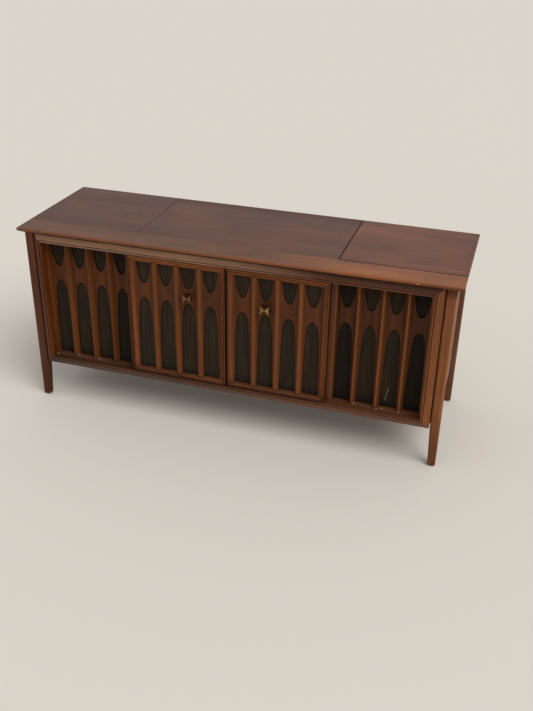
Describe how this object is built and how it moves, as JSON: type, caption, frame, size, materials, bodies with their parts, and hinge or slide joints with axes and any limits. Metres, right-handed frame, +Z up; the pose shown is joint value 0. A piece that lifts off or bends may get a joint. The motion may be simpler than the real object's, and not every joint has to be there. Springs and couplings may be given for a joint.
{
  "type": "stereo console",
  "caption": "Long low walnut stereo console with lift-up lids over a record changer and a tuner, arched fretwork over grille cloth, two centre doors and tapered legs.",
  "frame": {"origin": "on the floor, in the middle of the overall width and depth", "axes": "+X to the viewer's right along the front, +Y to the back, +Z up; the front faces -Y"},
  "size_m": [1.524, 0.493, 0.669],
  "materials": {
    "walnut_top": "satin lacquered walnut veneer",
    "walnut_case": "satin lacquered walnut",
    "walnut_front": "satin lacquered dark walnut",
    "inner_board": "raw chipboard and plywood, stained dark where it shows",
    "back_board": "brown hardboard",
    "grille_cloth": "dark woven grille cloth",
    "pull_metal": "antiqued brass",
    "glide_metal": "dark nail-on glide",
    "hinge_metal": "brass-plated steel",
    "cone_paper": "black paper cone on a steel basket",
    "plate_enamel": "pale satin enamel",
    "motor_steel": "grey enamel",
    "platter_aluminium": "spun aluminium",
    "rubber": "matt black rubber",
    "arm_plastic": "satin black and silver",
    "tuner_panel": "brushed aluminium panel",
    "chassis_steel": "plated steel",
    "dial_print": "black dial with pale numbers",
    "pointer_red": "orange-red",
    "knob_metal": "turned aluminium cap"
  },
  "bodies": {
    "case": {"top_front_rail": "walnut_top", "top_centre_panel": "walnut_top", "left_side_panel": "walnut_case", "right_side_panel": "walnut_case", "bottom_panel": "inner_board", "back_panel": "back_board", "left_partition": "inner_board", "right_partition": "inner_board", "frame_top_rail": "walnut_case", "frame_bottom_rail": "walnut_case", "frame_left_stile": "walnut_case", "frame_right_stile": "walnut_case", "front_legs": "walnut_case", "rear_legs": "walnut_case", "foot_glides": "glide_metal", "rear_rail": "walnut_case", "left_fretwork": "walnut_front", "right_fretwork": "walnut_front", "grille_cloths": "grille_cloth", "speaker_baffles": "inner_board", "woofers": "cone_paper", "tweeters": "cone_paper", "turntable_deck": "inner_board", "tuner_deck": "tuner_panel", "changer_base": "plate_enamel", "changer_motor": "motor_steel", "receiver_chassis": "chassis_steel", "dial_scale": "dial_print", "record_dividers": "inner_board", "case_fittings": "hinge_metal"},
    "left_lid": {"left_lid": "walnut_top", "left_lid_fittings": "hinge_metal"},
    "left_stay": {"left_lid_stay": "hinge_metal"},
    "left_door": {"left_door_frame": "walnut_front", "left_door_fretwork": "walnut_front", "left_door_cloth": "grille_cloth", "left_door_pull": "pull_metal", "left_door_fittings": "hinge_metal"},
    "right_lid": {"right_lid": "walnut_top", "right_lid_fittings": "hinge_metal"},
    "right_stay": {"right_lid_stay": "hinge_metal"},
    "right_door": {"right_door_frame": "walnut_front", "right_door_fretwork": "walnut_front", "right_door_cloth": "grille_cloth", "right_door_pull": "pull_metal", "right_door_fittings": "hinge_metal"},
    "platter": {"platter": "platter_aluminium", "platter_mat": "rubber"},
    "idler": {"idler_wheel": "rubber"},
    "motor_shaft": {"motor_pulley": "motor_steel"},
    "turret": {"tonearm_turret": "arm_plastic"},
    "tonearm": {"tonearm": "arm_plastic"},
    "lever": {"changer_lever": "arm_plastic"},
    "tuning_knob": {"tuning_knob": "knob_metal"},
    "selector_knob": {"selector_knob": "knob_metal"},
    "volume_knob": {"volume_knob": "knob_metal"},
    "bass_knob": {"bass_knob": "knob_metal"},
    "treble_knob": {"treble_knob": "knob_metal"},
    "balance_knob": {"balance_knob": "knob_metal"},
    "pointer": {"dial_pointer": "pointer_red"}
  },
  "joints": [
    {"name": "left_lid_hinge", "type": "hinge", "parent": "case", "child": "left_lid", "pos_m": [-0.53525, 0.2441, 0.644], "axis": [-1, 0, 0], "range_deg": [0, 80]},
    {"name": "left_stay_pivot", "type": "hinge", "parent": "case", "child": "left_stay", "pos_m": [-0.36475, 0.0941, 0.644], "axis": [-1, 0, 0], "range_deg": [0, 160]},
    {"name": "left_door_pivot", "type": "hinge", "parent": "case", "child": "left_door", "pos_m": [-0.342, -0.2305, 0.4025], "axis": [0, 0, -1], "range_deg": [0, 105]},
    {"name": "right_lid_hinge", "type": "hinge", "parent": "case", "child": "right_lid", "pos_m": [0.53525, 0.2441, 0.644], "axis": [-1, 0, 0], "range_deg": [0, 80]},
    {"name": "right_stay_pivot", "type": "hinge", "parent": "case", "child": "right_stay", "pos_m": [0.36475, 0.0941, 0.644], "axis": [-1, 0, 0], "range_deg": [0, 160]},
    {"name": "right_door_pivot", "type": "hinge", "parent": "case", "child": "right_door", "pos_m": [0.342, -0.2305, 0.4025], "axis": [0, 0, 1], "range_deg": [0, 105]},
    {"name": "platter_spin", "type": "hinge", "parent": "case", "child": "platter", "pos_m": [-0.55325, 0.0065, 0.578], "axis": [0, 0, -1], "continuous": true},
    {"name": "idler_spin", "type": "hinge", "parent": "case", "child": "idler", "pos_m": [-0.47635, 0.0834, 0.5715], "axis": [0, 0, -1], "continuous": true},
    {"name": "motor_spin", "type": "hinge", "parent": "case", "child": "motor_shaft", "pos_m": [-0.49463, 0.06512, 0.5715], "axis": [0, 0, -1], "continuous": true},
    {"name": "tonearm_swing", "type": "hinge", "parent": "case", "child": "turret", "pos_m": [-0.39925, 0.1445, 0.566], "axis": [0, 0, -1], "range_deg": [0, 38]},
    {"name": "tonearm_lift", "type": "hinge", "parent": "turret", "child": "tonearm", "pos_m": [-0.39925, 0.1445, 0.6027], "axis": [-1, 0, 0], "range_deg": [0, 10]},
    {"name": "changer_lever_turn", "type": "hinge", "parent": "case", "child": "lever", "pos_m": [-0.40325, -0.1055, 0.566], "axis": [0, 0, -1], "range_deg": [0, 60]},
    {"name": "tuning_knob_turn", "type": "hinge", "parent": "case", "child": "tuning_knob", "pos_m": [0.66725, 0.0965, 0.6], "axis": [0, 0, -1], "range_deg": [-450, 450]},
    {"name": "selector_knob_turn", "type": "hinge", "parent": "case", "child": "selector_knob", "pos_m": [0.40325, 0.0965, 0.6], "axis": [0, 0, -1], "range_deg": [0, 120]},
    {"name": "volume_knob_turn", "type": "hinge", "parent": "case", "child": "volume_knob", "pos_m": [0.4065, -0.0655, 0.6], "axis": [0, 0, -1], "range_deg": [0, 300]},
    {"name": "balance_knob_turn", "type": "hinge", "parent": "case", "child": "balance_knob", "pos_m": [0.49233, -0.0655, 0.6], "axis": [0, 0, -1], "range_deg": [-150, 150]},
    {"name": "bass_knob_turn", "type": "hinge", "parent": "case", "child": "bass_knob", "pos_m": [0.57817, -0.0655, 0.6], "axis": [0, 0, -1], "range_deg": [-150, 150]},
    {"name": "treble_knob_turn", "type": "hinge", "parent": "case", "child": "treble_knob", "pos_m": [0.664, -0.0655, 0.6], "axis": [0, 0, -1], "range_deg": [-150, 150]},
    {"name": "dial_pointer_slide", "type": "slide", "parent": "case", "child": "pointer", "axis": [1, 0, 0], "range_m": [-0.08, 0.08]}
  ],
  "couplings": [
    {"joint": "left_stay_pivot", "follows": "left_lid_hinge", "ratio": 2},
    {"joint": "right_stay_pivot", "follows": "right_lid_hinge", "ratio": 2},
    {"joint": "idler_spin", "follows": "platter_spin", "ratio": 6.4662},
    {"joint": "motor_spin", "follows": "platter_spin", "ratio": -23.036},
    {"joint": "dial_pointer_slide", "follows": "tuning_knob_turn", "m_per_rad": 0.010186}
  ]
}
